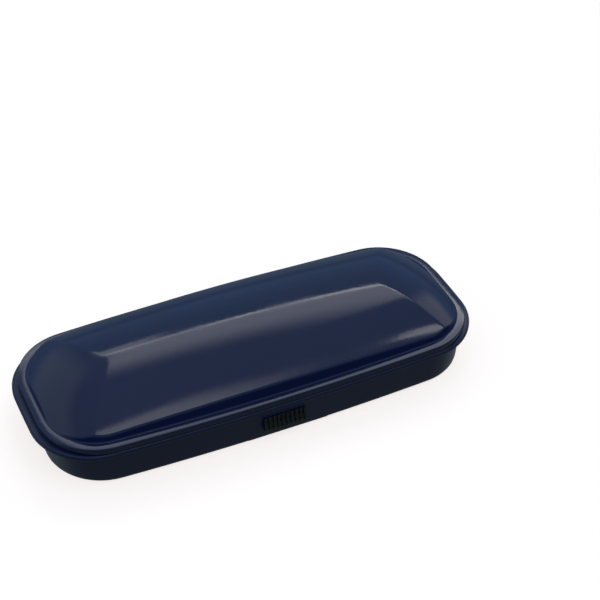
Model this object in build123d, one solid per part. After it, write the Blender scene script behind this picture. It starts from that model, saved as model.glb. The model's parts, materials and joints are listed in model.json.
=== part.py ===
from build123d import *
import os
from math import asin, cos, radians, sin, tan

# Eyeglasses case: a moulded tray and a domed lid on two rear pin hinges, with a sliding thumb latch in front.
# +X runs along the length, -Y is the front with the latch, and +Z is up. The origin is at the bottom centre.

# Driving dimensions, in mm
LID_A, LID_B = 80.0, 32.0        # half length and half width of the lid's rim
FLANGE_A, FLANGE_B = 82.4, 32.2  # the tray's rim flange, which shows past the lid at both ends
TRAY_A, TRAY_B = 78.6, 31.9      # the tray's wall at its rim
CORNER_R = 21.5                  # plan corner of the lid's rim
BOW_LONG, BOW_END = 2.7, 0.8     # how far the long and short edges bow out
SEAM_Z = 14.4                    # top of the tray's rim
SEAM_GAP = 0.3                   # joint line between tray and lid
CROWN_H = 14.0                   # crown of the dome above the lid's underside
WALL = 1.8
RUN_GAP = 0.15                   # clearance round a sliding piece
CUT = 1.0                        # how far a cutting shape runs past the surface that it cuts
ROOT = 0.5                       # how far a joined form reaches into the one it stands on

# Tray
FLANGE_H = 2.2
FLANGE_CORNER_R = CORNER_R + 1.0
FLANGE_EDGE_R = 0.7
TRAY_DRAFT = 0.8                 # how far the tray's wall leans in at its foot
TRAY_EDGE_R = 2.0
TONGUE_H = 1.5                   # the lid's locating lip, which reaches down into the tray
TONGUE_GAP = 0.45

# Lid dome
LID_Z = SEAM_Z + SEAM_GAP        # underside of the lid's rim
CROWN_Z = LID_Z + CROWN_H
RIM_H = 2.4
LEDGE_W = 2.9                    # flat ledge from the rim to the dome's foot
WALL_SLOPE = 0.32                # lean of the dome's steep wall, mm in per mm up
BARREL_R = 54.0                  # main barrel of the dome, lying along X
RIDGE_R = 950.0                  # slight bow of the ridge along X
RIDGE_END = 50.5                 # where the end slopes leave the ridge
END_SLOPE_R = 50.0               # end slope, in the plane of the ridge
SLOPE_TURN = 60.0                # how far round the end slope is drawn, in degrees
END_CROSS_R = 80.0               # end slope, across the case
RIM_EDGE_R = 0.3

# Linings
LINING_T = 1.2
GLUE_GAP = 0.15
TRAY_LINING_TOP = SEAM_Z - 1.9
LID_LINING_FOOT = 3.1            # above the lid's underside
LINING_ROOM = 0.6                # clearance of a lining's notch round what stands in it

# Hinges
HINGE_X = 44.0                   # centre of each hinge
HINGE_Y, HINGE_Z = 32.4, SEAM_Z - 1.5    # below the seam, so that the closed lid hides the hinges from above
KNUCKLE_R = 1.8
KNUCKLE_W = 6.0
KNUCKLE_GAP = 0.25
PIN_R = 0.75
PIN_GAP = 0.05
PIN_CHAMFER = 0.2
HINGE_RELIEF = 0.3               # clearance round a knuckle in the other shell's rim
LID_WEB_ROOT, LID_WEB_H = 1.7, 1.0   # where the lid's hinge webs stand in its rim
LID_WEB_ANGLES = (45, 150)       # where the two faces of a lid web meet the knuckle, in degrees from +Y
TRAY_WEB_ROOT = 2.2              # how far the tray's webs reach in from the pin, into the rim
TRAY_WEB_H = (-2.6, 1.0)         # lowest and highest point of the tray's webs, from the pin

# Latch: a ribbed thumb pad outside, a slider with an upright hook inside
LATCH_Z = SEAM_Z - 6.7           # mid height of the latch
PAD_W, PAD_H = 15.6, 5.4
PAD_TOP_T, PAD_FOOT_T = 0.9, 1.9 # the pad is thicker at its foot, as a ledge for the thumb
PAD_SLOPE_Z = (-1.0, 0.5)        # where the slope between the two thicknesses lies, from mid height
RIBS = 10
RIB_W = 0.85
RIB_H = 0.6
RIB_OVER_TOP, RIB_OVER_FOOT = 0.3, 0.2   # the ribs stand past the pad at its top and foot
TRAVEL = 3.0
NECK_W, NECK_H = 5.0, 2.6
BOSS_X = (-13.0, 17.0)           # thickened part of the front wall behind the pad
BOSS_Y = -27.8                   # its inner face
BOSS_TOP = SEAM_Z - 1.5
SLIDER_X = (-7.0, 7.0)
SLIDER_Y = (-27.7, -26.5)
SLIDER_H = 5.6
ARM_X = (0.0, 3.5)               # upright arm of the slider
NOSE_REACH = 1.8                 # how far its hook reaches over the catch
NOSE_Z = (SEAM_Z - 0.95, LID_Z + 0.5)
NOSE_TIP_H = 0.6
COVER_Y = (-26.35, -25.35)
COVER_LEGS_X = ((-13.0, -9.0), (13.0, 17.0))
COVER_Z = (LATCH_Z - 4.8, LATCH_Z + 4.0)
SCREW_R = 0.8
SCREW_HEAD_R, SCREW_HEAD_H = 1.5, 0.8
SCREW_SLOT_W, SCREW_SLOT_D = 0.4, 0.4
SCREW_END_Y = -30.2
SPRING_Y = -27.75
SPRING_OD = 2.6
SPRING_END_GAP = 0.05
WIRE_D = 0.36
SPRING_TURNS = 5.5
SPRING_SEAT_X = 5.5              # the slider's lug, which the spring pushes on, starts here
POCKET_Y = -29.2                 # bottom of the spring's pocket in the boss
PEG_R, PEG_L = 0.55, 1.5         # peg on the lug that keeps the spring in place

# Lid catch: a plate set into the lid, with a finger that hangs down and a ledge under the hook
CATCH_Y = (-27.6, -26.6)
CATCH_PLATE_X = (-12.0, -3.0)
CATCH_PLATE_Z = (LID_Z + 0.4, LID_Z + 3.0)
CATCH_FINGER_X = (-6.0, -3.0)
CATCH_LEDGE_X = -0.9             # tip of the catch's ledge
CATCH_LEDGE_Z = (SEAM_Z - 2.1, SEAM_Z - 1.1)
CATCH_TIP_H = 0.5
CATCH_BOSS_Y = -28.1             # outer face of the lid's boss that holds the plate
CATCH_BOSS_TOP = LID_Z + 3.6
HOOK_ROOM_X = 9.0                # end of the gap in the lid's lip, which clears the hook's travel
HOOK_ROOM_Y = (-28.0, -20.0)
HOOK_ROOM_TOP = LID_Z + 1.6
LINING_NOTCH_H = 4.2             # height of the notch in the lid's lining for catch and hook


def bowed_face(a, b, corner):
    """Plan face of half length a and half width b, with bowed edges and rounded corners."""
    long_r = (a * a + BOW_LONG * BOW_LONG) / (2 * BOW_LONG)
    end_r = (b * b + BOW_END * BOW_END) / (2 * BOW_END)
    face = Rectangle(2 * a, 2 * b)
    for sign in (-1, 1):
        face = face & (Pos(0, sign * (b - long_r)) * Circle(long_r))
        face = face & (Pos(sign * (a - end_r), 0) * Circle(end_r))
    return fillet(face.vertices(), corner).face()


def prism(a, b, corner, low, high):
    return extrude(Pos(0, 0, low) * bowed_face(a, b, corner), high - low, dir=(0, 0, 1))


def leaning_prism(a, b, corner, low, high, lean):
    """Prism whose wall leans in by lean from its low end to its high end."""
    foot = Pos(0, 0, low) * bowed_face(a, b, corner)
    top = Pos(0, 0, high) * bowed_face(a - lean, b - lean, corner - lean)
    return loft([foot, top], ruled=True)


def block(x, y, z):
    """Box from its lowest and highest coordinate along each axis."""
    size = [high - low for low, high in (x, y, z)]
    middle = [(high + low) / 2 for low, high in (x, y, z)]
    return Pos(*middle) * Box(*size)


def rod(radius, y, z, x_low, x_high):
    """Cylinder along X."""
    return Pos((x_low + x_high) / 2, y, z) * Rot(0, 90, 0) * Cylinder(radius, x_high - x_low)


def cross_rod(radius, x, z, y_low, y_high):
    """Cylinder along Y."""
    return Pos(x, (y_low + y_high) / 2, z) * Rot(90, 0, 0) * Cylinder(radius, y_high - y_low)


def section_x(points, x_low, x_high):
    """Solid whose outline in Y and Z is the same from x_low to x_high."""
    outline = make_face(Polyline([(x_low, y, z) for y, z in points], close=True))
    return extrude(outline, x_high - x_low, dir=(1, 0, 0))


def section_y(points, y_low, y_high):
    """Solid whose outline in X and Z is the same from y_low to y_high."""
    outline = make_face(Polyline([(x, y_low, z) for x, z in points], close=True))
    return extrude(outline, y_high - y_low, dir=(0, 1, 0))


def round_body(profile, axis_z):
    """Body whose top is a profile in the plane of the ridge, turned about an axis along X."""
    ends = [profile @ 0, profile @ 1]
    feet = [(end.X, 0, axis_z) for end in ends]
    outline = make_face([profile, Line(ends[1], feet[1]), Line(feet[1], feet[0]), Line(feet[0], ends[0])])
    axis = Axis((0, 0, axis_z), (1, 0, 0))
    return revolve(outline.rotate(axis, -90), axis, 180)


def barrel(inset):
    """Main barrel of the dome, its ridge slightly bowed along X."""
    radius = RIDGE_R - inset
    centre_z = CROWN_Z - RIDGE_R
    half = LID_A
    end = (half, 0, centre_z + (radius ** 2 - half ** 2) ** 0.5)
    ridge = ThreePointArc((-half, 0, end[2]), (0, 0, CROWN_Z - inset), end)
    return round_body(ridge, CROWN_Z - BARREL_R)


def end_slope(inset, side):
    """Round body whose top leaves the ridge at a tangent and slopes down to one end."""
    lean = asin(RIDGE_END / RIDGE_R)
    end_top_z = CROWN_Z - RIDGE_R * (1 - cos(lean))
    centre_x = RIDGE_END - END_SLOPE_R * sin(lean)
    centre_z = end_top_z - END_SLOPE_R * cos(lean)
    radius = END_SLOPE_R - inset
    points = []
    for turn in (lean, lean + radians(SLOPE_TURN) / 2, lean + radians(SLOPE_TURN)):
        points.append((side * (centre_x + radius * sin(turn)), 0, centre_z + radius * cos(turn)))
    run = RIDGE_END + LID_A
    start = (points[0][0] - side * run, 0, points[0][2] + run * tan(lean))
    profile = Wire([Line(start, points[0]), ThreePointArc(*points)])
    return round_body(profile, end_top_z - END_CROSS_R)


def dome(inset, low):
    """The dome's form, inset from its outer surface, down to the height low."""
    out = (LID_Z + RIM_H - low) * WALL_SLOPE - inset
    rise = CROWN_Z - low
    a = LID_A - LEDGE_W + out
    b = LID_B - LEDGE_W + out
    body = leaning_prism(a, b, CORNER_R - LEDGE_W + out, low, CROWN_Z, rise * WALL_SLOPE)
    return body & barrel(inset) & end_slope(inset, 1) & end_slope(inset, -1)


def knuckle_spans(centre, owner):
    """X spans of one hinge's knuckles: the outer two are the tray's, the middle one the lid's."""
    pitch = KNUCKLE_W + KNUCKLE_GAP
    places = (0,) if owner == "lid" else (-1, 1)
    return [(centre + k * pitch - KNUCKLE_W / 2, centre + k * pitch + KNUCKLE_W / 2) for k in places]


def knuckle_edge(angle):
    """Point on a knuckle's round, by its angle from +Y towards +Z."""
    return (HINGE_Y + KNUCKLE_R * cos(radians(angle)), HINGE_Z + KNUCKLE_R * sin(radians(angle)))


def knuckle(owner, low, high):
    """One knuckle with the web that joins it to its shell's rim."""
    if owner == "lid":
        root = LID_B - LID_WEB_ROOT
        top = LID_Z + LID_WEB_H
        outside, inside = (knuckle_edge(angle) for angle in LID_WEB_ANGLES)
        web = [(root, LID_Z), (root, top), (LID_B, top), outside, (HINGE_Y, HINGE_Z), inside]
    else:
        root = HINGE_Y - TRAY_WEB_ROOT
        foot, top = (HINGE_Z + height for height in TRAY_WEB_H)
        web = [(root, foot), (root, top), (HINGE_Y, top), knuckle_edge(-90)]
    return section_x(web, low, high) + rod(KNUCKLE_R, HINGE_Y, HINGE_Z, low, high)


def knuckle_room(owner, low, high):
    """Space that a knuckle and its web need in the other shell's rim."""
    reach = KNUCKLE_R + HINGE_RELIEF
    span = (low - HINGE_RELIEF, high + HINGE_RELIEF)
    room = rod(reach, HINGE_Y, HINGE_Z, *span)
    if owner == "lid":
        room = room + block(span, (HINGE_Y - reach, HINGE_Y + reach), (HINGE_Z, SEAM_Z + CUT))
    return room


def add_knuckles(shell, owner):
    """Fuse a shell's knuckles to its rim, and leave room in the rim for the other shell's."""
    other = "tray" if owner == "lid" else "lid"
    bore_r = PIN_R + PIN_GAP if owner == "lid" else PIN_R
    for centre in (-HINGE_X, HINGE_X):
        for low, high in knuckle_spans(centre, other):
            shell = shell - knuckle_room(other, low, high)
        for low, high in knuckle_spans(centre, owner):
            shell = shell + knuckle(owner, low, high)
            shell = shell - rod(bore_r, HINGE_Y, HINGE_Z, low - KNUCKLE_GAP / 2, high + KNUCKLE_GAP / 2)
    return shell


def tray_form(inset, floor, top):
    """The tray's wall form, inset from its outer surface, with a rounded foot and a wall that leans out."""
    lean = -TRAY_DRAFT * (top - floor) / SEAM_Z
    draft = TRAY_DRAFT * (SEAM_Z - floor) / SEAM_Z
    offset = inset + draft
    form = leaning_prism(TRAY_A - offset, TRAY_B - offset, CORNER_R - offset, floor, top, lean)
    return fillet(form.faces().sort_by(Axis.Z)[0].edges(), TRAY_EDGE_R)


def make_tray_shell():
    wall = tray_form(0, 0, SEAM_Z - FLANGE_EDGE_R)
    flange = prism(FLANGE_A, FLANGE_B, FLANGE_CORNER_R, SEAM_Z - FLANGE_H, SEAM_Z)
    for side in (0, -1):
        flange = fillet(flange.faces().sort_by(Axis.Z)[side].edges(), FLANGE_EDGE_R)
    shell = (wall + flange) - tray_form(WALL, WALL, SEAM_Z + CUT)
    shell = shell + block(BOSS_X, (-TRAY_B + WALL / 2, BOSS_Y), (WALL / 2, BOSS_TOP))
    shell = shell - (neck_slot() + spring_pocket())
    for x in screw_places():
        shell = shell - cross_rod(SCREW_R, x, LATCH_Z, SCREW_END_Y, BOSS_Y + CUT)
    return add_knuckles(shell, "tray")


def neck_slot():
    """Slot in the tray's front wall that the latch's neck slides along."""
    half = NECK_H / 2 + RUN_GAP
    span = (-NECK_W / 2 - RUN_GAP, NECK_W / 2 + TRAVEL + RUN_GAP)
    return block(span, (-TRAY_B - CUT, BOSS_Y + CUT), (LATCH_Z - half, LATCH_Z + half))


def spring_pocket():
    """Pocket in the boss for the spring and the lug that pushes on it."""
    half = SPRING_OD / 2 + RUN_GAP
    span = (SPRING_SEAT_X - RUN_GAP, COVER_LEGS_X[1][0])
    return block(span, (POCKET_Y, BOSS_Y + CUT), (LATCH_Z - half, LATCH_Z + half))


def lid_mouth():
    """The lid's inner space: an upright mouth below, and the inset dome above it."""
    offset = LEDGE_W + WALL
    top = LID_Z + RIM_H
    mouth = prism(LID_A - offset, LID_B - offset, CORNER_R - offset, LID_Z - TONGUE_H - CUT, top)
    return mouth + dome(WALL, top)


def make_lid_shell():
    rim = prism(LID_A, LID_B, CORNER_R, LID_Z, LID_Z + RIM_H)
    rim = fillet(rim.faces().sort_by(Axis.Z)[-1].edges(), RIM_EDGE_R)
    offset = WALL + TONGUE_GAP
    tongue = prism(TRAY_A - offset, TRAY_B - offset, CORNER_R - offset, LID_Z - TONGUE_H, LID_Z + RIM_H / 2)
    shell = rim + dome(0, LID_Z) + tongue - lid_mouth()
    hook_room_z = (LID_Z - TONGUE_H - CUT, HOOK_ROOM_TOP)
    shell = shell - block((CATCH_PLATE_X[0], HOOK_ROOM_X), HOOK_ROOM_Y, hook_room_z)
    shell = shell + block(CATCH_PLATE_X, (CATCH_BOSS_Y, CATCH_Y[0]), (CATCH_PLATE_Z[0], CATCH_BOSS_TOP))
    shell = shell - block(CATCH_PLATE_X, CATCH_Y, CATCH_PLATE_Z)
    return add_knuckles(shell, "lid")


def make_tray_lining():
    outside = WALL + GLUE_GAP
    inside = outside + LINING_T
    lining = tray_form(outside, outside, TRAY_LINING_TOP) - tray_form(inside, inside, SEAM_Z)
    notch_x = (BOSS_X[0] - LINING_ROOM, BOSS_X[1] + LINING_ROOM)
    notch_y = COVER_Y[1] + SCREW_HEAD_H + LINING_ROOM
    return lining - block(notch_x, (-TRAY_B, notch_y), (WALL, SEAM_Z))


def make_lid_lining():
    foot = LID_Z + LID_LINING_FOOT
    lining = dome(WALL + GLUE_GAP, foot) - dome(WALL + GLUE_GAP + LINING_T, foot - CUT)
    notch_x = (CATCH_PLATE_X[0] - LINING_ROOM, ARM_X[1] + TRAVEL + LINING_ROOM)
    return lining - block(notch_x, (-LID_B, CATCH_Y[1] + LINING_ROOM), (LID_Z, LID_Z + LINING_NOTCH_H))


def make_hinge_pin(centre):
    half = 1.5 * KNUCKLE_W + KNUCKLE_GAP
    pin = rod(PIN_R, HINGE_Y, HINGE_Z, centre - half, centre + half)
    return chamfer(pin.edges().filter_by(GeomType.CIRCLE), PIN_CHAMFER)


def pad_back(z):
    """Y of the pad's back face, which follows the wall's lean."""
    return -TRAY_B - RUN_GAP + TRAY_DRAFT * (SEAM_Z - z) / SEAM_Z


def pad_section(stand_off, top_z, foot_z):
    """Outline of the thumb pad in Y and Z, from its back face out to stand_off short of its ribs."""
    low, high = (LATCH_Z + height for height in PAD_SLOPE_Z)
    top_t = PAD_TOP_T - stand_off
    foot_t = PAD_FOOT_T - stand_off
    return [
        (pad_back(top_z), top_z),
        (pad_back(top_z) - top_t, top_z),
        (pad_back(high) - top_t, high),
        (pad_back(low) - foot_t, low),
        (pad_back(foot_z) - foot_t, foot_z),
        (pad_back(foot_z), foot_z),
    ]


def latch_neck(y_low, y_high):
    half = NECK_H / 2
    return block((-NECK_W / 2, NECK_W / 2), (y_low, y_high), (LATCH_Z - half, LATCH_Z + half))


def make_latch_button():
    top = LATCH_Z + PAD_H / 2
    foot = LATCH_Z - PAD_H / 2
    button = section_x(pad_section(RIB_H, top - RIB_OVER_TOP, foot + RIB_OVER_FOOT), -PAD_W / 2, PAD_W / 2)
    pitch = (PAD_W - RIB_W) / (RIBS - 1)
    for i in range(RIBS):
        low = -PAD_W / 2 + i * pitch
        button = button + section_x(pad_section(0, top, foot), low, low + RIB_W)
    return button + latch_neck(pad_back(LATCH_Z) - PAD_TOP_T + RIB_H, SLIDER_Y[1])


def make_latch_slider():
    low = LATCH_Z - SLIDER_H / 2
    high = LATCH_Z + SLIDER_H / 2
    nose_x = ARM_X[0] - NOSE_REACH
    outline = [
        (SLIDER_X[0], low), (SLIDER_X[1], low), (SLIDER_X[1], high), (ARM_X[1], high),
        (ARM_X[1], NOSE_Z[1]), (ARM_X[0], NOSE_Z[1]), (nose_x, NOSE_Z[0] + NOSE_TIP_H), (nose_x, NOSE_Z[0]),
        (ARM_X[0], NOSE_Z[0]), (ARM_X[0], high), (SLIDER_X[0], high),
    ]
    slider = section_y(outline, *SLIDER_Y)
    half = SPRING_OD / 2
    lug = ((SPRING_SEAT_X, SLIDER_X[1]), (POCKET_Y + RUN_GAP, SLIDER_Y[1]), (LATCH_Z - half, LATCH_Z + half))
    peg = rod(PEG_R, SPRING_Y, LATCH_Z, SLIDER_X[1] - ROOT, SLIDER_X[1] + PEG_L)
    return slider + block(*lug) + peg - latch_neck(SLIDER_Y[0] - CUT, SLIDER_Y[1] + CUT)


def make_latch_spring():
    length = COVER_LEGS_X[1][0] - SLIDER_X[1] - WIRE_D - 2 * SPRING_END_GAP
    coil_r = (SPRING_OD - WIRE_D) / 2
    path = Helix(length / SPRING_TURNS, length, coil_r)
    wire = sweep(Plane(path @ 0, z_dir=path % 0) * Circle(WIRE_D / 2), path)
    return Pos(SLIDER_X[1] + WIRE_D / 2 + SPRING_END_GAP, SPRING_Y, LATCH_Z) * Rot(0, 90, 0) * wire


def screw_places():
    return [(low + high) / 2 for low, high in COVER_LEGS_X]


def make_latch_cover():
    cover = block(BOSS_X, COVER_Y, COVER_Z)
    for leg in COVER_LEGS_X:
        cover = cover + block(leg, (BOSS_Y, COVER_Y[0]), COVER_Z)
    for x in screw_places():
        cover = cover - cross_rod(SCREW_R + PIN_GAP, x, LATCH_Z, BOSS_Y - CUT, COVER_Y[1] + CUT)
    return cover


def make_cover_screws():
    screws = []
    for x in screw_places():
        shank = cross_rod(SCREW_R, x, LATCH_Z, SCREW_END_Y, COVER_Y[1])
        head_y = COVER_Y[1] + SCREW_HEAD_H
        head = cross_rod(SCREW_HEAD_R, x, LATCH_Z, COVER_Y[1], head_y)
        slot_x = (x - SCREW_SLOT_W / 2, x + SCREW_SLOT_W / 2)
        slot_z = (LATCH_Z - SCREW_HEAD_R - CUT, LATCH_Z + SCREW_HEAD_R + CUT)
        screws.append(shank + head - block(slot_x, (head_y - SCREW_SLOT_D, head_y + CUT), slot_z))
    return Compound(children=screws)


def make_lid_catch():
    plate_low, plate_high = CATCH_PLATE_Z
    ledge_low, ledge_high = CATCH_LEDGE_Z
    outer, inner = CATCH_FINGER_X
    outline = [
        (CATCH_PLATE_X[0], plate_high), (CATCH_PLATE_X[0], plate_low), (outer, plate_low), (outer, ledge_low),
        (inner, ledge_low), (CATCH_LEDGE_X, ledge_high - CATCH_TIP_H), (CATCH_LEDGE_X, ledge_high),
        (inner, ledge_high), (inner, plate_high),
    ]
    return section_y(outline, *CATCH_Y)


PARTS = {
    "tray_shell": make_tray_shell,
    "tray_lining": make_tray_lining,
    "lid_shell": make_lid_shell,
    "lid_lining": make_lid_lining,
    "hinge_pin_left": lambda: make_hinge_pin(-HINGE_X),
    "hinge_pin_right": lambda: make_hinge_pin(HINGE_X),
    "latch_button": make_latch_button,
    "latch_slider": make_latch_slider,
    "latch_spring": make_latch_spring,
    "latch_cover": make_latch_cover,
    "cover_screws": make_cover_screws,
    "lid_catch": make_lid_catch,
}

os.makedirs("parts", exist_ok=True)
for name, make in PARTS.items():
    export_step(make(), f"parts/{name}.step")
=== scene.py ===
import json
from math import asin, cos, pi, radians, sin, tan

import bmesh
import bpy
import numpy as np
from mathutils import Matrix, Vector


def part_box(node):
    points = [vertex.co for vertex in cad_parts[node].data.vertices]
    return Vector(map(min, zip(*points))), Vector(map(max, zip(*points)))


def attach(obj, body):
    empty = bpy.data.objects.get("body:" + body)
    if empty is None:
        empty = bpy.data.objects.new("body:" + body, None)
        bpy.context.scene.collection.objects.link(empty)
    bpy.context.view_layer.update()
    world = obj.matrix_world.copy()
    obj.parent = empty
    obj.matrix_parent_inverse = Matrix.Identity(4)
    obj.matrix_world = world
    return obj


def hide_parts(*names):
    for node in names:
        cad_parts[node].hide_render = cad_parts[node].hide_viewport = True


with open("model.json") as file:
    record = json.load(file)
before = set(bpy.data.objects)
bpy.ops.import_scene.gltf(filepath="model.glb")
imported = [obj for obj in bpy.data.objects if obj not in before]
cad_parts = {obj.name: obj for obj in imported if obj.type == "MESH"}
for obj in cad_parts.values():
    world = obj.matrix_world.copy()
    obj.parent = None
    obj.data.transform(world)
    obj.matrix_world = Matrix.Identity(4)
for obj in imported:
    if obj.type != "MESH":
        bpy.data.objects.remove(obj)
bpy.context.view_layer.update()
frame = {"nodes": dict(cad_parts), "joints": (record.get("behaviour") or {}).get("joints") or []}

# Eyeglasses case: the CAD frame holds every part, its size and its motion. This script gives the moulded
# shells, linings and latch their finished surfaces, and lights them. +X runs along the length, and -Y is the
# latch side.

MM = 0.001

# ---- Places, from the frame ----
LID_LOW, LID_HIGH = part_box("lid_shell")
TRAY_LOW, TRAY_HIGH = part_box("tray_shell")
PAD_LOW, PAD_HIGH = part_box("latch_button")
COVER_LOW, COVER_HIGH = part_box("latch_cover")
CATCH_LOW, CATCH_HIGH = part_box("lid_catch")
TRAY_LINING_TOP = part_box("tray_lining")[1].z
LID_LINING_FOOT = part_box("lid_lining")[0].z
JOINTS = {joint["name"]: joint for joint in frame["joints"]}
_, HINGE_Y, HINGE_Z = JOINTS["lid_hinge"]["pos_m"]
TRAVEL = JOINTS["latch_slide"]["range_m"][1]
HINGE_DROP = 1.5 * MM            # from the top of the tray's rim down to the hinge axis
LID_GAP = 0.3 * MM               # from the top of the tray's rim up to the underside of the lid
SEAM_Z = HINGE_Z + HINGE_DROP
LID_Z = SEAM_Z + LID_GAP
LID_A, LID_B = LID_HIGH.x, -LID_LOW.y
FLANGE_A, FLANGE_B = TRAY_HIGH.x, -TRAY_LOW.y
CROWN_Z = LID_HIGH.z
LATCH_Z = (PAD_LOW.z + PAD_HIGH.z) / 2

# ---- Form of the shells, as in the CAD ----
CORNER_R = 21.5 * MM
BOW_LONG, BOW_END = 2.7 * MM, 0.8 * MM
WALL = 1.8 * MM
TRAY_SET_BACK = (1.4 * MM, 0.1 * MM)   # of the tray's wall behind the lid's rim, at the ends and the sides
TRAY_A, TRAY_B = LID_A - TRAY_SET_BACK[0], LID_B - TRAY_SET_BACK[1]
TRAY_DRAFT = 0.8 * MM
TRAY_EDGE_R = 2 * MM
FLANGE_H = 2.2 * MM
FLANGE_EDGE_R = 0.7 * MM
FLANGE_CORNER_R = CORNER_R + 1 * MM
TONGUE_H = 1.5 * MM
TONGUE_GAP = 0.45 * MM
RIM_H = 2.4 * MM
LEDGE_W = 2.9 * MM
RIM_EDGE_R = 0.3 * MM
SMALL_R = 0.2 * MM               # rounding of the mouldings' small edges
WALL_SLOPE = 0.32
BARREL_R = 54 * MM
RIDGE_R = 950 * MM
RIDGE_END = 50.5 * MM
END_SLOPE_R = 50 * MM
END_CROSS_R = 80 * MM
EDGE_BLEND = 0.9 * MM            # height over which the dome's steep wall turns into its top
FOOT_BLEND = 0.7 * MM            # height over which it turns into the ledge
CREASE_BLEND = 0.02 * MM         # height over which the barrel turns into an end slope
CREASE_LINE = (RIDGE_END, 0.58, 1.0)   # where that happens: X as a polynomial of the half width, in metres
CREASE_CUT, CREASE_W = 0.05 * MM, 0.25 * MM   # fine line along it
CREASE_FADE = (3 * MM, 10 * MM)  # half widths between which the line appears
WALL_RUN = (-0.6 * MM, 2.6 * MM)       # plan run of the rings that carry wall and blends
LINING_T = 1.2 * MM
LINING_MIN_RUN = 2 * MM          # least plan run of the rings of the lid's lining
LINING_ROOM = 0.6 * MM           # round the latch parts that the linings make room for
LINING_NOTCH_H = 4.2 * MM
GLUE_GAP = 0.15 * MM
RUN_GAP = 0.15 * MM

# ---- Hinge and latch details, as in the CAD ----
KNUCKLE_R = 1.8 * MM
KNUCKLE_W, KNUCKLE_GAP = 6 * MM, 0.25 * MM
HINGE_RELIEF = 0.3 * MM
PIN_R = 0.75 * MM
LID_WEB_ROOT = 1.7 * MM          # how far a lid knuckle's web runs into the rim
LID_WEB_H = 1 * MM
LID_WEB_ANGLES = (45, 150)       # where it meets the knuckle's round, from +Y towards +Z
TRAY_WEB_ROOT = 2.2 * MM         # how far a tray knuckle's web runs in from the hinge axis
TRAY_WEB_Z = (HINGE_Z - 2.6 * MM, HINGE_Z + 1 * MM)
BOSS_TOP = SEAM_Z - 1.5 * MM
NECK_W, NECK_H = 5 * MM, 2.6 * MM
ARM_END = 3.5 * MM               # X of the far side of the slider's upright arm
HOOK_ROOM_END = 9 * MM           # X at which the gap in the lid's tongue ends, past the hook's travel
HOOK_ROOM_Y = (-28 * MM, -20 * MM)
HOOK_ROOM_TOP = LID_Z + 1.6 * MM
CATCH_BOSS_END = -3 * MM
CATCH_BOSS_T = 0.5 * MM
CATCH_BOSS_Z = (LID_Z + 0.4 * MM, LID_Z + 3.6 * MM)
CUT = 1 * MM                     # how far a cutting tool reaches past the face that it opens

# ---- Mesh density ----
END_STEPS, CORNER_STEPS, CREASE_STEPS, LONG_STEPS = 14, 20, 44, 72
QUARTER = END_STEPS + CORNER_STEPS + CREASE_STEPS + LONG_STEPS
PATCH_CORNER = END_STEPS + CORNER_STEPS
CREASE_ANGLE, CREASE_SPREAD = radians(63.5), radians(3)   # where the crease meets a corner's arc
CREASE_BOOST = 7                 # how much closer the points are there
GATHER_SAMPLES = 2001
ROUND_STEPS = 5                  # steps round a small edge
BEVEL_STEPS = 3
ROD_STEPS = 48
WALL_RINGS = 40                  # rings up the dome's wall
TRAY_RINGS, TRAY_INNER_RINGS = 8, 6    # rings up the straight part of the tray's wall
STEP_RANGE, HALVINGS = (-2 * MM, 14 * MM), 30   # where the lining's lower edge is looked for, and how finely
SHARP_ANGLE = radians(35)        # edges sharper than this stay sharp in the shading


# ---- Plan outlines and heights ----

def arc_points(centre, radius, angles):
    return np.stack([centre[0] + radius * np.cos(angles), centre[1] + radius * np.sin(angles)], 1)


def gathered(first, last, steps):
    """Angles from first to last that lie closer together where the crease meets the corner."""
    fine = np.linspace(first, last, GATHER_SAMPLES)
    weight = np.cumsum(1 + CREASE_BOOST * np.exp(-((fine - CREASE_ANGLE) / CREASE_SPREAD) ** 2))
    return np.interp(np.linspace(weight[0], weight[-1], steps + 1), weight, fine)


def outline(a, b, corner):
    """Closed plan outline of half length a and half width b, with bowed edges, anticlockwise from (a, 0)."""
    long_r = (a * a + BOW_LONG * BOW_LONG) / (2 * BOW_LONG)
    end_r = (b * b + BOW_END * BOW_END) / (2 * BOW_END)
    long_c = np.array([0, b - long_r])
    end_c = np.array([a - end_r, 0])
    across = end_c - long_c
    gap = np.linalg.norm(across)
    along = ((long_r - corner) ** 2 - (end_r - corner) ** 2 + gap ** 2) / (2 * gap)
    aside = ((long_r - corner) ** 2 - along ** 2) ** 0.5
    unit = across / gap
    centre = long_c + along * unit + aside * np.array([unit[1], -unit[0]])
    to_end = np.arctan2(*(centre - end_c)[::-1])
    to_long = np.arctan2(*(centre - long_c)[::-1])
    middle = radians(45)
    quarter = np.concatenate([
        arc_points(end_c, end_r, np.linspace(0, to_end, END_STEPS + 1)[:-1]),
        arc_points(centre, corner, np.linspace(to_end, middle, CORNER_STEPS + 1)[:-1]),
        arc_points(centre, corner, gathered(middle, to_long, CREASE_STEPS)[:-1]),
        arc_points(long_c, long_r, np.linspace(to_long, pi / 2, LONG_STEPS + 1)[:-1]),
        [[0, b]],
    ])
    mirrored = quarter[::-1] * [-1, 1]
    half = np.concatenate([quarter[:-1], mirrored[:-1]])
    return np.concatenate([half, -half])


def inset_outline(offset):
    """The lid rim's outline, moved in by offset."""
    return outline(LID_A - offset, LID_B - offset, CORNER_R - offset)


def smooth_min(p, q, width):
    return np.minimum(p, q) - np.maximum(width - np.abs(p - q), 0) ** 2 / (4 * width)


def smooth_max(p, q, width):
    return -smooth_min(-p, -q, width)


def turned(profile, y, axis_z):
    """Height at y of a ridge profile that is turned about an axis along X."""
    return axis_z + np.sqrt(np.maximum((profile - axis_z) ** 2 - y ** 2, 0))


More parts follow.
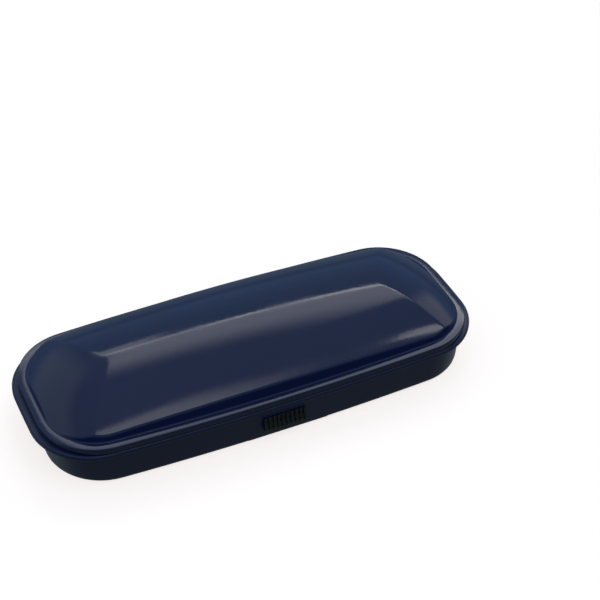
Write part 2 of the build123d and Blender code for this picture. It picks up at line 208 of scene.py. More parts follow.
def dome_height(x, y, inset):
    """Top of the dome, inset from its outer surface: a long barrel with a slope at each end."""
    ridge = CROWN_Z - RIDGE_R + np.sqrt((RIDGE_R - inset) ** 2 - x ** 2)
    barrel = turned(ridge, y, CROWN_Z - BARREL_R)
    lean = asin(RIDGE_END / RIDGE_R)
    end_top_z = CROWN_Z - RIDGE_R * (1 - cos(lean))
    centre_x = RIDGE_END - END_SLOPE_R * sin(lean)
    centre_z = end_top_z - END_SLOPE_R * cos(lean)
    radius = END_SLOPE_R - inset
    out = np.abs(x) - centre_x
    start = radius * sin(lean)
    curved = centre_z + np.sqrt(np.maximum(radius ** 2 - np.maximum(out, start) ** 2, 0))
    slope = curved + np.maximum(start - out, 0) * tan(lean)
    end = turned(slope, y, end_top_z - END_CROSS_R)
    return smooth_min(barrel, end, CREASE_BLEND)


def crease_x(y):
    """X of the crease between barrel and end slope, from the distance to the centre line."""
    start, slope, bend = CREASE_LINE
    return start + slope * np.abs(y) + bend * y * y


def crown_height(x, y):
    """Outer surface of the dome's top, with the fine line along the crease."""
    fade = np.clip((np.abs(y) - CREASE_FADE[0]) / (CREASE_FADE[1] - CREASE_FADE[0]), 0, 1)
    off_line = (np.abs(x) - crease_x(y)) / CREASE_W
    return dome_height(x, y, 0) - CREASE_CUT * fade * np.exp(-off_line ** 2)


def wall_ring(inset, step):
    """Ring on the dome's wall, step in from its foot, with the blend into the dome's top."""
    plan = inset_outline(LEDGE_W + inset + step)
    wall = LID_Z + RIM_H + step / WALL_SLOPE
    top = dome_height(*plan.T, inset) if inset else crown_height(*plan.T)
    height = smooth_min(wall, top, EDGE_BLEND)
    if inset == 0:
        height = smooth_max(height, LID_Z + RIM_H, FOOT_BLEND)
    return np.column_stack([plan, height])


def flat_ring(plan, height):
    return np.column_stack([plan, np.full(len(plan), height)])


def round_steps():
    """Angles round a quarter turn."""
    return [radians(90) * i / ROUND_STEPS for i in range(ROUND_STEPS + 1)]


# ---- Mesh tools ----

def patch_plan(ring):
    """Plan points of a grid that fills a ring, its four corners at the middle of the ring's corners."""
    first = PATCH_CORNER
    second = 2 * QUARTER - first
    third, fourth = 2 * QUARTER + first, 4 * QUARTER - first
    top = ring[first:second + 1][::-1]
    bottom = ring[third:fourth + 1]
    left = ring[second:third + 1][::-1]
    right = np.concatenate([ring[fourth:], ring[:first + 1]])
    u = np.linspace(0, 1, len(top))[:, None, None]
    v = np.linspace(0, 1, len(left))[None, :, None]
    straight = (1 - v) * bottom[:, None] + v * top[:, None] + (1 - u) * left[None] + u * right[None]
    corners = (
        (1 - u) * (1 - v) * bottom[0] + u * (1 - v) * bottom[-1] + (1 - u) * v * top[0] + u * v * top[-1]
    )
    return along_crease(straight - corners)


def along_crease(plan):
    """Moves a grid's columns in X so that one of them runs along each crease."""
    edge_x, edge_y = np.abs(plan[:, :1, 0]), plan[:, :1, 1]
    foot = edge_x[np.argmin(np.abs(edge_x - crease_x(edge_y)))]
    pull = np.interp(edge_x, [0, foot[0], edge_x.max()], [0, 1, 0])
    shift = pull * (crease_x(plan[:, :, 1]) - crease_x(edge_y))
    return plan + np.stack([np.sign(plan[:, :, 0]) * shift, 0 * shift], -1)


def patch_index(ring_start):
    """Vertex numbers of the grid's edge, which is the ring itself, and -1 inside."""
    first = PATCH_CORNER
    second = 2 * QUARTER - first
    third, fourth = 2 * QUARTER + first, 4 * QUARTER - first
    index = np.full((second - first + 1, third - second + 1), -1)
    index[:, -1] = np.arange(first, second + 1)[::-1]
    index[:, 0] = np.arange(third, fourth + 1)
    index[0, :] = np.arange(second, third + 1)[::-1]
    index[-1, :] = np.concatenate([np.arange(fourth, 4 * QUARTER), np.arange(first + 1)])
    return np.where(index < 0, -1, index + ring_start)


def shell_mesh(name, rings, first_height, last_height):
    """Closed mesh through a list of rings, with a grid over the first and the last one.

    The rings run up the outside. Each height function gives the grid's height at plan points."""
    points = [np.concatenate(rings)]
    count = len(rings[0])
    total = count * len(rings)
    around = np.arange(count)
    following = np.roll(around, -1)
    faces = []
    for i in range(len(rings) - 1):
        low, high = i * count, (i + 1) * count
        faces.append(np.column_stack([low + around, low + following, high + following, high + around]))
    for number, height, flip in ((0, first_height, True), (len(rings) - 1, last_height, False)):
        plan = patch_plan(rings[number][:, :2])
        index = patch_index(number * count)
        inner = index < 0
        index[inner] = total + np.arange(inner.sum())
        total += inner.sum()
        inside = plan[inner]
        points.append(np.column_stack([inside, height(inside[:, 0], inside[:, 1])]))
        quads = np.stack([index[:-1, :-1], index[1:, :-1], index[1:, 1:], index[:-1, 1:]], -1).reshape(-1, 4)
        faces.append(quads[:, ::-1] if flip else quads)
    return new_object(name, np.concatenate(points), np.concatenate(faces))


def placed(name, data):
    """New object in the scene with that mesh, camera or light."""
    made = bpy.data.objects.new(name, data)
    bpy.context.scene.collection.objects.link(made)
    return made


def new_object(name, points, faces):
    mesh = bpy.data.meshes.new(name)
    mesh.from_pydata([tuple(p) for p in points], [], [[int(i) for i in face] for face in faces])
    mesh.update()
    return placed(name, mesh)


def round_edges(shape, edges, radius):
    bmesh.ops.bevel(shape, geom=edges, offset=radius, segments=BEVEL_STEPS, profile=0.5, affect="EDGES")


def prism_object(name, section, low, high, edge_r=0.0):
    """Solid with the same Y and Z section from low to high along X, its edges rounded by edge_r."""
    made = bmesh.new()
    loops = [[made.verts.new((x, *point)) for point in section] for x in (low, high)]
    made.faces.new(loops[0])
    made.faces.new(loops[1][::-1])
    for i in range(len(section)):
        j = (i + 1) % len(section)
        made.faces.new([loops[0][j], loops[0][i], loops[1][i], loops[1][j]])
    bmesh.ops.recalc_face_normals(made, faces=made.faces)
    if edge_r:
        round_edges(made, made.edges[:], edge_r)
    mesh = bpy.data.meshes.new(name)
    made.to_mesh(mesh)
    made.free()
    return placed(name, mesh)


def block_object(name, x, y, z, edge_r=0.0):
    """Box from its lowest and highest coordinate along each axis."""
    section = [(y[0], z[0]), (y[1], z[0]), (y[1], z[1]), (y[0], z[1])]
    return prism_object(name, section, x[0], x[1], edge_r)


def rod_object(name, radius, centre, low, high, edge_r=0.0):
    """Cylinder along X round a centre in Y and Z, with rounded ends."""
    section = []
    for i in range(ROD_STEPS):
        angle = 2 * pi * i / ROD_STEPS
        section.append((centre[0] + radius * cos(angle), centre[1] + radius * sin(angle)))
    made = prism_object(name, section, low, high)
    if edge_r:
        shape = bmesh.new()
        shape.from_mesh(made.data)
        round_edges(shape, [e for e in shape.edges if any(len(f.verts) > 4 for f in e.link_faces)], edge_r)
        shape.to_mesh(made.data)
        shape.free()
    return made


def combine(target, other, operation):
    """Boolean of target with other, which is used up."""
    modifier = target.modifiers.new("combine", "BOOLEAN")
    modifier.object = other
    modifier.operation = operation
    modifier.solver = "EXACT"
    graph = bpy.context.evaluated_depsgraph_get()
    graph.update()
    mesh = bpy.data.meshes.new_from_object(target.evaluated_get(graph))
    target.modifiers.clear()
    target.data = mesh
    bpy.data.objects.remove(other)


def add(target, other):
    combine(target, other, "UNION")


def cut(target, other):
    combine(target, other, "DIFFERENCE")


def smooth(target):
    """Smooth shading, with sharp edges kept."""
    mesh = target.data
    mesh.polygons.foreach_set("use_smooth", [True] * len(mesh.polygons))
    mesh.set_sharp_from_angle(angle=SHARP_ANGLE)
    return target


# ---- The shells ----

def tray_outline(inset, height):
    """The tray wall's outline at a height, which leans out towards the rim."""
    offset = inset + TRAY_DRAFT * (SEAM_Z - height) / SEAM_Z
    return outline(TRAY_A - offset, TRAY_B - offset, CORNER_R - offset)


def rounded_foot(inset, floor, radius):
    """Rings round the foot edge of the tray's wall form, from its flat floor up to its wall."""
    rings = []
    for turn in round_steps():
        height = floor + radius * (1 - cos(turn))
        plan = tray_outline(inset + radius * (1 - sin(turn)), height)
        rings.append(flat_ring(plan, height))
    return rings


def flange_rings():
    """Rings up the outside of the tray's rim flange and in over its top."""
    rings = []
    foot, top = SEAM_Z - FLANGE_H, SEAM_Z
    r = FLANGE_EDGE_R
    for turn in round_steps():
        rings.append((r * (1 - sin(turn)), foot + r * (1 - cos(turn))))
    for turn in round_steps():
        rings.append((r * (1 - cos(turn)), top - r * (1 - sin(turn))))
    return [flat_ring(outline(FLANGE_A - o, FLANGE_B - o, FLANGE_CORNER_R - o), z) for o, z in rings]


def wall_below_flange():
    """Rings up the tray's wall, from its rounded foot to the flange's underside."""
    heights = np.linspace(TRAY_EDGE_R, SEAM_Z - FLANGE_H, TRAY_RINGS)
    return [flat_ring(tray_outline(0, z), z) for z in heights[1:]]


def knuckle_spans(centre, owner):
    """X spans of one hinge's knuckles: the outer two are the tray's, the middle one the lid's."""
    pitch = KNUCKLE_W + KNUCKLE_GAP
    places = (0,) if owner == "lid" else (-1, 1)
    return [(centre + k * pitch - KNUCKLE_W / 2, centre + k * pitch + KNUCKLE_W / 2) for k in places]


def knuckle_edge(angle):
    """Point on a knuckle's round, by its angle from +Y towards +Z."""
    return (HINGE_Y + KNUCKLE_R * cos(radians(angle)), HINGE_Z + KNUCKLE_R * sin(radians(angle)))


def knuckle_web(owner):
    """Section of the web that joins a knuckle to its shell's rim."""
    axis = (HINGE_Y, HINGE_Z)
    if owner == "lid":
        root, top = LID_B - LID_WEB_ROOT, LID_Z + LID_WEB_H
        upper, lower = (knuckle_edge(angle) for angle in LID_WEB_ANGLES)
        return [(root, LID_Z), (root, top), (LID_B, top), upper, axis, lower]
    root = HINGE_Y - TRAY_WEB_ROOT
    low, high = TRAY_WEB_Z
    return [(root, low), (root, high), (HINGE_Y, high), knuckle_edge(-90)]


def add_knuckles(shell, owner):
    """Joins a shell's knuckles to its rim, and leaves room in the rim for the other shell's."""
    other = "tray" if owner == "lid" else "lid"
    axis = (HINGE_Y, HINGE_Z)
    reach = KNUCKLE_R + HINGE_RELIEF
    for pin in ("hinge_pin_left", "hinge_pin_right"):
        low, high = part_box(pin)
        centre = (low.x + high.x) / 2
        for start, end in knuckle_spans(centre, other):
            span = (start - HINGE_RELIEF, end + HINGE_RELIEF)
            cut(shell, rod_object("room", reach, axis, *span))
            if other == "lid":
                room_y = (HINGE_Y - reach, HINGE_Y + reach)
                cut(shell, block_object("room", span, room_y, (HINGE_Z, SEAM_Z + CUT)))
        for start, end in knuckle_spans(centre, owner):
            add(shell, prism_object("web", knuckle_web(owner), start + SMALL_R, end - SMALL_R))
            add(shell, rod_object("knuckle", KNUCKLE_R, axis, start, end, SMALL_R))
            cut(shell, rod_object("bore", PIN_R, axis, start - KNUCKLE_GAP / 2, end + KNUCKLE_GAP / 2))


def make_tray():
    inside = rounded_foot(WALL, WALL, TRAY_EDGE_R)
    inner_heights = np.linspace(WALL + TRAY_EDGE_R, SEAM_Z - SMALL_R, TRAY_INNER_RINGS)
    inner_wall = [flat_ring(tray_outline(WALL, z), z) for z in inner_heights]
    lip = flat_ring(tray_outline(WALL - SMALL_R, SEAM_Z), SEAM_Z)
    rings = rounded_foot(0, 0, TRAY_EDGE_R) + wall_below_flange() + flange_rings()
    rings += [lip] + inner_wall[::-1] + inside[::-1][1:]
    tray = shell_mesh("tray_moulding", rings, lambda x, y: 0 * x, lambda x, y: WALL + 0 * x)
    boss_y = (-TRAY_B + WALL / 2, COVER_LOW.y)
    add(tray, block_object("boss", (COVER_LOW.x, COVER_HIGH.x), boss_y, (WALL / 2, BOSS_TOP), SMALL_R))
    half = NECK_H / 2 + RUN_GAP
    slot_x = (-NECK_W / 2 - RUN_GAP, NECK_W / 2 + TRAVEL + RUN_GAP)
    slot_y = (-TRAY_B - CUT, COVER_LOW.y + CUT)
    cut(tray, block_object("slot", slot_x, slot_y, (LATCH_Z - half, LATCH_Z + half)))
    add_knuckles(tray, "tray")
    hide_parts("tray_shell")
    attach(tray, "tray")
    return smooth(tray)


def tongue_rings():
    """Rings down the inside of the lid's mouth, round its locating tongue and out to the rim's lower edge."""
    offset = WALL + TONGUE_GAP
    mouth = inset_outline(LEDGE_W + WALL)
    foot = LID_Z - TONGUE_H
    rings = [flat_ring(mouth, z) for z in (LID_Z + RIM_H / 2, LID_Z, foot + SMALL_R)]
    rings.append(flat_ring(inset_outline(LEDGE_W + WALL - SMALL_R), foot))
    for inset, z in ((SMALL_R, foot), (0, foot + SMALL_R), (0, LID_Z)):
        plan = outline(TRAY_A - offset - inset, TRAY_B - offset - inset, CORNER_R - offset - inset)
        rings.append(flat_ring(plan, z))
    return rings


def rim_rings():
    """Rings round the lower edge of the lid's rim, up its face and over its top edge."""
    top = LID_Z + RIM_H
    low = [(SMALL_R * (1 - sin(t)), LID_Z + SMALL_R * (1 - cos(t))) for t in round_steps()]
    high = [(RIM_EDGE_R * (1 - cos(t)), top - RIM_EDGE_R * (1 - sin(t))) for t in round_steps()]
    return [flat_ring(inset_outline(offset), z) for offset, z in low + high]


def make_lid():
    steps = np.linspace(*WALL_RUN, WALL_RINGS)
    inner_steps = np.linspace(0, WALL_RUN[1], WALL_RINGS // 2)
    rings = [wall_ring(WALL, step) for step in inner_steps[::-1]]
    rings += tongue_rings() + rim_rings()
    rings += [wall_ring(0, step) for step in steps]
    lid = shell_mesh("lid_moulding", rings, lambda x, y: dome_height(x, y, WALL), crown_height)
    room_z = (LID_Z - TONGUE_H - CUT, HOOK_ROOM_TOP)
    cut(lid, block_object("hook_room", (CATCH_LOW.x, HOOK_ROOM_END), HOOK_ROOM_Y, room_z))
    boss_y = (CATCH_LOW.y - CATCH_BOSS_T, CATCH_LOW.y)
    add(lid, block_object("boss", (CATCH_LOW.x, CATCH_BOSS_END), boss_y, CATCH_BOSS_Z))
    add_knuckles(lid, "lid")
    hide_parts("lid_shell")
    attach(lid, "lid")
    return smooth(lid)


# ---- The linings ----

def make_tray_lining():
    """Board with flocked fabric that lines the tray, its top edge rolled."""
    outside, inside = WALL + GLUE_GAP, WALL + GLUE_GAP + LINING_T
    half = LINING_T / 2
    edge_z = TRAY_LINING_TOP - half

    def straight_rings(inset):
        heights = np.linspace(inset + TRAY_EDGE_R, edge_z, TRAY_RINGS)
        return [flat_ring(tray_outline(inset, z), z) for z in heights[1:-1]]

    rings = rounded_foot(outside, outside, TRAY_EDGE_R) + straight_rings(outside)
    for i in range(2 * ROUND_STEPS + 1):
        turn = pi * i / (2 * ROUND_STEPS)
        z = edge_z + half * sin(turn)
        rings.append(flat_ring(tray_outline(outside + half * (1 - cos(turn)), z), z))
    rings += straight_rings(inside)[::-1] + rounded_foot(inside, inside, TRAY_EDGE_R)[::-1]
    lining = shell_mesh("tray_velour", rings, lambda x, y: outside + 0 * x, lambda x, y: inside + 0 * x)
    notch_x = (COVER_LOW.x - LINING_ROOM, COVER_HIGH.x + LINING_ROOM)
    notch_y = (-TRAY_B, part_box("cover_screws")[1].y + LINING_ROOM)
    cut(lining, block_object("notch", notch_x, notch_y, (WALL, SEAM_Z)))
    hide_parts("tray_lining")
    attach(lining, "tray")
    return smooth(lining)


def dome_ring(inset, steps):
    """Plan and height of a ring inside the dome, each point its own step in from the wall's foot."""
    foot = inset_outline(LEDGE_W + inset)
    inward = (inset_outline(LEDGE_W + inset + MM) - foot) / MM
    plan = foot + steps[:, None] * inward
    wall = LID_Z + RIM_H + steps / WALL_SLOPE
    return np.column_stack([plan, smooth_min(wall, dome_height(*plan.T, inset), EDGE_BLEND)])


def steps_at(inset, height):
    """Step of each point at which the ring inside the dome reaches a height."""
    low, high = (np.full(4 * QUARTER, limit) for limit in STEP_RANGE)
    for _ in range(HALVINGS):
        middle = (low + high) / 2
        under = dome_ring(inset, middle)[:, 2] < height
        low, high = np.where(under, middle, low), np.where(under, high, middle)
    return high


def make_lid_lining():
    """Board with flocked fabric that lines the dome, its lower edge rolled."""
    outside, inside = WALL + GLUE_GAP, WALL + GLUE_GAP + LINING_T
    half = LINING_T / 2
    edge_z = LID_LINING_FOOT + half
    skins = []
    for inset in (inside, outside):
        start = steps_at(inset, edge_z)
        run = np.maximum(WALL_RUN[1] - start, LINING_MIN_RUN)
        skins.append([dome_ring(inset, start + run * t) for t in np.linspace(0, 1, WALL_RINGS // 2)])
    inner, outer = skins
    centre, reach = (inner[0] + outer[0]) / 2, (outer[0] - inner[0]) / 2
    rings = inner[::-1]
    for i in range(1, 2 * ROUND_STEPS):
        turn = pi * i / (2 * ROUND_STEPS)
        rings.append(centre - reach * cos(turn) - [0, 0, half * sin(turn)])
    rings += outer
    lining = shell_mesh(
        "lid_velour", rings, lambda x, y: dome_height(x, y, inside), lambda x, y: dome_height(x, y, outside)
    )
    notch_x = (CATCH_LOW.x - LINING_ROOM, ARM_END + TRAVEL + LINING_ROOM)
    notch_y = (-LID_B, CATCH_HIGH.y + LINING_ROOM)
    cut(lining, block_object("notch", notch_x, notch_y, (LID_Z, LID_Z + LINING_NOTCH_H)))
    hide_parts("lid_lining")
    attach(lining, "lid")
    return smooth(lining)


# ---- The latch and the small parts ----

RIBS = 10
RIB_W = 0.85 * MM
RIB_H = 0.6 * MM
PAD_TOP_T, PAD_FOOT_T = 0.9 * MM, 1.9 * MM
PAD_SLOPE_Z = (-1.0 * MM, 0.5 * MM)     # where the pad gets thicker, from its middle height
PAD_SHORT_TOP, PAD_SHORT_FOOT = 0.3 * MM, 0.2 * MM   # how much shorter than its ribs its plate is
PAD_EDGE_R = 0.12 * MM
RIB_EDGE_R = 0.2 * MM
NECK_LAP = 0.2 * MM              # how far the neck reaches into the pad
CAD_EDGE_R = 0.1 * MM            # rounding of the small parts that the CAD gives
SCREW_EDGE_R = 0.05 * MM
WELD_GAP = 0.001 * MM


def pad_section(stand_off, top_z, foot_z):
    """Outline of the thumb pad in Y and Z, from its back face out to stand_off short of its ribs."""
    def back(z):
        return -TRAY_B - RUN_GAP + TRAY_DRAFT * (SEAM_Z - z) / SEAM_Z
    low, high = (LATCH_Z + height for height in PAD_SLOPE_Z)
    top_t, foot_t = PAD_TOP_T - stand_off, PAD_FOOT_T - stand_off
    return [
        (back(top_z), top_z), (back(top_z) - top_t, top_z), (back(high) - top_t, high),
        (back(low) - foot_t, low), (back(foot_z) - foot_t, foot_z), (back(foot_z), foot_z),
    ]


def make_thumb_pad():
    """The ribbed pad that the thumb pushes sideways, with the neck that goes through the wall."""
    top, foot = PAD_HIGH.z, PAD_LOW.z
    plate = pad_section(RIB_H, top - PAD_SHORT_TOP, foot + PAD_SHORT_FOOT)
    pad = prism_object("thumb_pad", plate, PAD_LOW.x, PAD_HIGH.x, PAD_EDGE_R)
    pitch = (PAD_HIGH.x - PAD_LOW.x - RIB_W) / (RIBS - 1)
    for i in range(RIBS):
        low = PAD_LOW.x + i * pitch
        add(pad, prism_object("rib", pad_section(0, top, foot), low, low + RIB_W, RIB_EDGE_R))
    neck_y = (-TRAY_B - NECK_LAP, PAD_HIGH.y)
    neck_z = (LATCH_Z - NECK_H / 2, LATCH_Z + NECK_H / 2)
    add(pad, block_object("neck", (-NECK_W / 2, NECK_W / 2), neck_y, neck_z))
    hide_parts("latch_button")
    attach(pad, "latch")
    return smooth(pad)


def soften(node, edge_r):
    """Rounds the edges of a small CAD part and shades it smoothly."""
    part = frame["nodes"][node]
    weld = part.modifiers.new("weld", "WELD")
    weld.merge_threshold = WELD_GAP
    if edge_r:
        bevel = part.modifiers.new("edges", "BEVEL")
        bevel.width = edge_r
        bevel.segments = 2
        bevel.limit_method = "ANGLE"
        bevel.angle_limit = radians(40)
    return smooth(part)


# ---- Materials ----

class Shader:
    """A material's node tree, with short calls for the nodes used here."""

    def __init__(self, name):
        self.material = bpy.data.materials.new(name)
        self.material.use_nodes = True
        self.tree = self.material.node_tree
        self.bsdf = self.tree.nodes["Principled BSDF"]
        self.place = self.tree.nodes.new("ShaderNodeTexCoord").outputs["Object"]

    def link(self, source, target):
        self.tree.links.new(source, target)

    def noise(self, size, detail, stretch=None):
        """Noise with features of about that size in metres."""
        node = self.tree.nodes.new("ShaderNodeTexNoise")
        node.inputs["Scale"].default_value = 1 / size
        node.inputs["Detail"].default_value = detail
        source = self.place
        if stretch:
            mapping = self.tree.nodes.new("ShaderNodeMapping")
            mapping.inputs["Scale"].default_value = stretch
            self.link(self.place, mapping.inputs["Vector"])
            source = mapping.outputs["Vector"]
        self.link(source, node.inputs["Vector"])
        return node.outputs["Fac"]

    def spread(self, source, low, high, start=0.3, end=0.7):
        """Maps a source from start..end to low..high."""
        node = self.tree.nodes.new("ShaderNodeMapRange")
        for name, value in (("From Min", start), ("From Max", end), ("To Min", low), ("To Max", high)):
            node.inputs[name].default_value = value
        self.link(source, node.inputs["Value"])
        return node.outputs["Result"]

    def blend(self, factor, first, second):
        """Colour between two colours or colour sources."""
        node = self.tree.nodes.new("ShaderNodeMix")
        node.data_type = "RGBA"
        self.link(factor, node.inputs["Factor"])
        for colour, socket in ((first, node.inputs["A"]), (second, node.inputs["B"])):
            if isinstance(colour, tuple):
                socket.default_value = (*colour, 1)
            else:
                self.link(colour, socket)
        return node.outputs["Result"]

    def arithmetic(self, operation, first, second):
        node = self.tree.nodes.new("ShaderNodeMath")
        node.operation = operation
        for value, socket in ((first, node.inputs[0]), (second, node.inputs[1])):
            if isinstance(value, float):
                socket.default_value = value
            else:
                self.link(value, socket)
        return node.outputs["Value"]

    def edges(self):
        """One along worn outside edges, and nought elsewhere."""
        geometry = self.tree.nodes.new("ShaderNodeNewGeometry")
        return self.spread(geometry.outputs["Pointiness"], 0.0, 1.0, 0.5, 0.56)

    def bump(self, height, depth, under=None):
        """Adds relief of that depth in metres."""
        node = self.tree.nodes.new("ShaderNodeBump")
        node.inputs["Distance"].default_value = depth
        self.link(height, node.inputs["Height"])
        if under is not None:
            self.link(under, node.inputs["Normal"])
        return node.outputs["Normal"]

    def set(self, **values):
        for name, value in values.items():
            self.bsdf.inputs[name.replace("_", " ")].default_value = value

    def paint(self, target, source):
        self.link(source, self.bsdf.inputs[target])


# Colours: the body of the material, its lighter patches, and where it is rubbed or brushed.
NAVY, NAVY_LIGHT, NAVY_RUBBED = (0.0062, 0.0125, 0.066), (0.0078, 0.0155, 0.074), (0.03, 0.04, 0.09)
BLACK, BLACK_LIGHT, BLACK_RUBBED = (0.004, 0.004, 0.0045), (0.008, 0.008, 0.0085), (0.03, 0.03, 0.032)
PILE, PILE_BRUSHED, PILE_TIPS = (0.012, 0.013, 0.018), (0.022, 0.023, 0.03), (0.045, 0.047, 0.055)
STEEL, STEEL_LIGHT = (0.42, 0.42, 0.43), (0.55, 0.55, 0.56)
FLOOR, FLOOR_LIGHT = (0.54, 0.54, 0.54), (0.56, 0.56, 0.56)


def moulded_plastic(name, roughness, peel_depth, grain_depth):
    """Navy plastic: slight mottling, orange peel, handling marks and rubbed edges."""
    shader = Shader(name)
    colour = shader.blend(shader.spread(shader.noise(35 * MM, 3), 0.0, 1.0), NAVY, NAVY_LIGHT)
    patches = shader.spread(shader.noise(6 * MM, 4), 0.0, 0.35, 0.45, 0.7)
    worn = shader.arithmetic("MULTIPLY", shader.edges(), patches)
    shader.paint("Base Color", shader.blend(worn, colour, NAVY_RUBBED))
    smears = shader.spread(shader.noise(22 * MM, 5), -0.03, 0.05)
    hairlines = shader.spread(shader.noise(1.2 * MM, 2, (0.06, 1.0, 1.0)), 0.0, 0.05, 0.62, 0.75)
    rough = shader.arithmetic("ADD", shader.arithmetic("ADD", smears, hairlines), roughness)
    shader.paint("Roughness", shader.arithmetic("ADD", rough, shader.arithmetic("MULTIPLY", worn, 0.2)))
    peel = shader.bump(shader.noise(2.2 * MM, 1), peel_depth)
    shader.paint("Normal", shader.bump(shader.noise(0.22 * MM, 2), grain_depth, peel))
    shader.set(IOR=1.5)
    return shader.material


def lid_plastic():
    return moulded_plastic("navy_gloss", 0.09, 0.010 * MM, 0.0002 * MM)


def tray_plastic():
    return moulded_plastic("navy_satin", 0.36, 0.004 * MM, 0.003 * MM)


def black_plastic():
    """Semi-matt black plastic with a fine spark-eroded grain."""
    shader = Shader("black_grain")
    colour = shader.blend(shader.spread(shader.noise(3 * MM, 3), 0.0, 1.0), BLACK, BLACK_LIGHT)
    worn = shader.arithmetic("MULTIPLY", shader.edges(), shader.spread(shader.noise(2 * MM, 3), 0.1, 0.5))
    shader.paint("Base Color", shader.blend(worn, colour, BLACK_RUBBED))
    shader.paint("Roughness", shader.spread(shader.noise(1.5 * MM, 3), 0.32, 0.48))
    shader.paint("Normal", shader.bump(shader.noise(0.16 * MM, 2), 0.006 * MM))
    return shader.material


def velour():
    """Short flocked pile: soft sheen, brushed patches and a fine pile relief."""
    shader = Shader("flock")
    brushed = shader.spread(shader.noise(18 * MM, 4, (0.6, 1.0, 1.0)), 0.0, 1.0, 0.35, 0.65)
    fibres = shader.spread(shader.noise(0.25 * MM, 3), 0.0, 1.0, 0.3, 0.7)
    colour = shader.blend(brushed, PILE, PILE_BRUSHED)
    colour = shader.blend(shader.arithmetic("MULTIPLY", fibres, 0.4), colour, PILE_TIPS)
    shader.paint("Base Color", colour)
    shader.set(Roughness=0.95, Sheen_Weight=0.35, Sheen_Roughness=0.4, Specular_IOR_Level=0.1)
    nap = shader.bump(shader.noise(4 * MM, 3), 0.05 * MM)
    shader.paint("Normal", shader.bump(shader.noise(0.22 * MM, 3), 0.09 * MM, nap))
    return shader.material


def steel(name, stretch):
    """Drawn or turned steel, with fine lines drawn out as the stretch says."""
    shader = Shader(name)
    lines = shader.noise(0.12 * MM, 3, stretch)
    tone = shader.spread(shader.noise(2 * MM, 3), 0.0, 1.0)
    shader.paint("Base Color", shader.blend(tone, STEEL, STEEL_LIGHT))
    shader.paint("Roughness", shader.spread(lines, 0.22, 0.42))
    shader.paint("Normal", shader.bump(lines, 0.002 * MM))
    shader.set(Metallic=1.0)
    return shader.material


def wear(part, material):
    part.data.materials.clear()
    part.data.materials.append(material)


# ---- Camera, floor and light ----

CAMERA_AT = Vector((-161.9, -369.3, 377.0)) * MM
CAMERA_AIM = Vector((28.7, 16.4, 13.9)) * MM
CAMERA_ROLL = 1.6                # degrees
CAMERA_LENS, CAMERA_SENSOR = 92.0, 36.0
CAMERA_SHIFT = (-0.001, -0.002)
CAMERA_CLIP = (0.01, 50)
FLOOR_HALF = 4.0                 # half the floor's width
SUN_FROM = (20, 62)              # azimuth and elevation of the floor's light
SUN_ENERGY, SUN_COLOUR = 5.2, (1.0, 0.93, 0.89)


def make_camera():
    data = bpy.data.cameras.new("camera")
    data.lens = CAMERA_LENS
    data.sensor_width = CAMERA_SENSOR
    data.shift_x, data.shift_y = CAMERA_SHIFT
    camera = placed("camera", data)
    turn = (CAMERA_AIM - CAMERA_AT).to_track_quat("-Z", "Y").to_matrix()
    roll = Matrix.Rotation(radians(CAMERA_ROLL), 3, "Z")
    camera.matrix_world = Matrix.Translation(CAMERA_AT) @ (turn @ roll).to_4x4()
    data.clip_start, data.clip_end = CAMERA_CLIP
    bpy.context.scene.camera = camera


def direction(azimuth, elevation):
    """Unit vector: azimuth 0 is +Y and 90 is +X, and elevation is above the horizon."""
    a, e = radians(azimuth), radians(elevation)
    return Vector((sin(a) * cos(e), cos(a) * cos(e), sin(e)))


def make_floor():
    corners = [(x * FLOOR_HALF, y * FLOOR_HALF, 0) for x, y in ((-1, -1), (1, -1), (1, 1), (-1, 1))]
    floor = new_object("floor", corners, [(0, 1, 2, 3)])
    shader = Shader("pale_floor")
    tone = shader.spread(shader.noise(0.4, 3), 0.0, 1.0)
    shader.paint("Base Color", shader.blend(tone, FLOOR, FLOOR_LIGHT))
    shader.set(Roughness=0.9, Specular_IOR_Level=0.1)
    wear(floor, shader.material)
    floor.visible_glossy = False
    floor.visible_diffuse = False
    return floor


SKY = (                          # height above the horizon as a sine, and the light from there
    (-1.0, (0.13, 0.15, 0.09)),
    (-0.5, (0.13, 0.15, 0.09)),
    (-0.3, (0.02, 0.02, 0.02)),
    (0.0, (0.03, 0.04, 0.06)),
    (0.12, (0.18, 0.28, 0.44)),
    (0.6, (0.24, 0.34, 0.42)),
    (1.0, (0.36, 0.44, 0.50)),
)
# Soft boxes seen from the case, in degrees: azimuth from +Y towards +X, elevation, and the width of the soft
# edges at the left, right, lower and upper side; then the light.
BOXES = (
    ((9, 54), (38.9, 40.2), (6, 6, 0.3, 0.3), (2.4, 2.4, 2.4)),
    ((40, 54), (38.9, 40.4), (30, 6, 0.3, 0.3), (1.8, 1.8, 1.8)),
    ((12, 50), (40, 48), (3, 6, 0.5, 16), (1.35, 1.3, 1.3)),
    ((150, 178), (68, 75), (40, 8, 6, 4), (1.5, 1.45, 1.45)),
    ((-70, -20), (22, 42), (20, 20, 10, 10), (0.25, 0.25, 0.22)),
    ((5, 13), (35, 38.5), (4, 3, 2, 1), (1.2, 1.2, 1.2)),
    ((60, 74), (18, 32), (8, 8, 8, 8), (0.5, 0.45, 0.4)),
    ((104, 110), (55, 59), (3, 3, 2, 2), (3.0, 3.0, 3.0)),
    ((-80, 90), (-60, -4), (15, 15, 10, 12), (0.10, 0.15, 0.20)),
)
BACKDROP = 0.9                   # what the camera itself sees past the floor


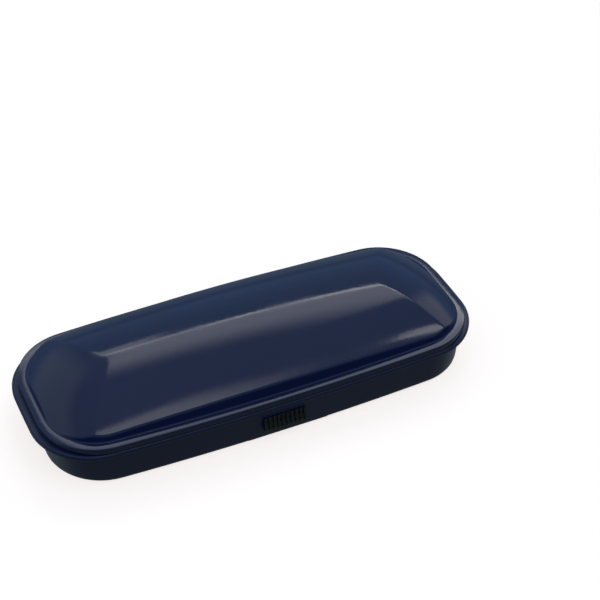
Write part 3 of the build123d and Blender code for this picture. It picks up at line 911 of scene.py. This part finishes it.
class Sky:
    """The world's node tree: a gradient with height, with soft boxes added to it."""

    def __init__(self, world):
        self.tree = world.node_tree
        direction_seen = self.node("ShaderNodeTexCoord").outputs["Generated"]
        self.x, self.y, self.z = self.node("ShaderNodeSeparateXYZ", direction_seen).outputs

    def node(self, kind, *sources):
        node = self.tree.nodes.new(kind)
        for source, socket in zip(sources, node.inputs):
            if isinstance(source, bpy.types.NodeSocket):
                self.tree.links.new(source, socket)
            else:
                socket.default_value = source
        return node

    def math(self, operation, *sources):
        node = self.node("ShaderNodeMath", *sources)
        node.operation = operation
        return node.outputs["Value"]

    def ramp(self):
        node = self.node("ShaderNodeValToRGB", self.math("MULTIPLY_ADD", self.z, 0.5, 0.5))
        points = node.color_ramp.elements
        while len(points) < len(SKY):
            points.new(0.5)
        for point, (height, colour) in zip(points, SKY):
            point.position = (height + 1) / 2
            point.color = (*colour, 1)
        return node.outputs["Color"]

    def between(self, value, low, high, low_edge, high_edge):
        """One between low and high degrees, falling softly to nought outside."""
        share = None
        for start, end in ((low - low_edge, low), (high + high_edge, high)):
            node = self.node("ShaderNodeMapRange", value, radians(start), radians(end), 0.0, 1.0)
            node.interpolation_type = "SMOOTHSTEP"
            share = self.math("MULTIPLY", share, node.outputs["Result"]) if share else node.outputs["Result"]
        return share

    def colour(self):
        azimuth, elevation = self.math("ARCTAN2", self.x, self.y), self.math("ARCSINE", self.z)
        total = self.ramp()
        for across, up, (left, right, lower, upper), light in BOXES:
            wide = self.between(azimuth, *across, left, right)
            high = self.between(elevation, *up, lower, upper)
            share = self.math("MULTIPLY", wide, high)
            node = self.node("ShaderNodeVectorMath", share, light, total)
            node.operation = "MULTIPLY_ADD"
            total = node.outputs["Vector"]
        return total


def make_world():
    world = bpy.data.worlds.new("studio")
    world.use_nodes = True
    world.node_tree.nodes.clear()
    bpy.context.scene.world = world
    sky = Sky(world)
    shown = sky.node("ShaderNodeBackground", (BACKDROP, BACKDROP, BACKDROP, 1))
    lit = sky.node("ShaderNodeBackground", sky.colour())
    camera_ray = sky.node("ShaderNodeLightPath").outputs["Is Camera Ray"]
    shaders = (node.outputs["Background"] for node in (lit, shown))
    mixed = sky.node("ShaderNodeMixShader", camera_ray, *shaders)
    sky.node("ShaderNodeOutputWorld", mixed.outputs["Shader"])


def light_floor(floor):
    """A sun without shadows that only the floor receives, so that the floor is pale all over."""
    data = bpy.data.lights.new("floor_sun", "SUN")
    data.energy = SUN_ENERGY
    data.color = SUN_COLOUR
    data.use_shadow = False
    sun = placed("floor_sun", data)
    sun.rotation_mode = "QUATERNION"
    sun.rotation_quaternion = direction(*SUN_FROM).to_track_quat("Z", "Y")
    receivers = bpy.data.collections.new("floor_only")
    receivers.objects.link(floor)
    sun.light_linking.receiver_collection = receivers


def make_studio():
    floor = make_floor()
    make_world()
    light_floor(floor)
    bpy.context.scene.view_settings.view_transform = "Standard"


# ---- Everything together ----

make_camera()
make_studio()
gloss, satin, black, flock = lid_plastic(), tray_plastic(), black_plastic(), velour()
wear(make_lid(), gloss)
wear(make_tray(), satin)
wear(make_lid_lining(), flock)
wear(make_tray_lining(), flock)
wear(make_thumb_pad(), black)
for node in ("latch_slider", "latch_cover", "lid_catch"):
    wear(soften(node, CAD_EDGE_R), black)
drawn, turned_steel = steel("drawn_steel", (0.05, 1.0, 1.0)), steel("turned_steel", (1.0, 0.2, 1.0))
for node in ("hinge_pin_left", "hinge_pin_right", "latch_spring"):
    wear(soften(node, 0), drawn)
wear(soften("cover_screws", SCREW_EDGE_R), turned_steel)
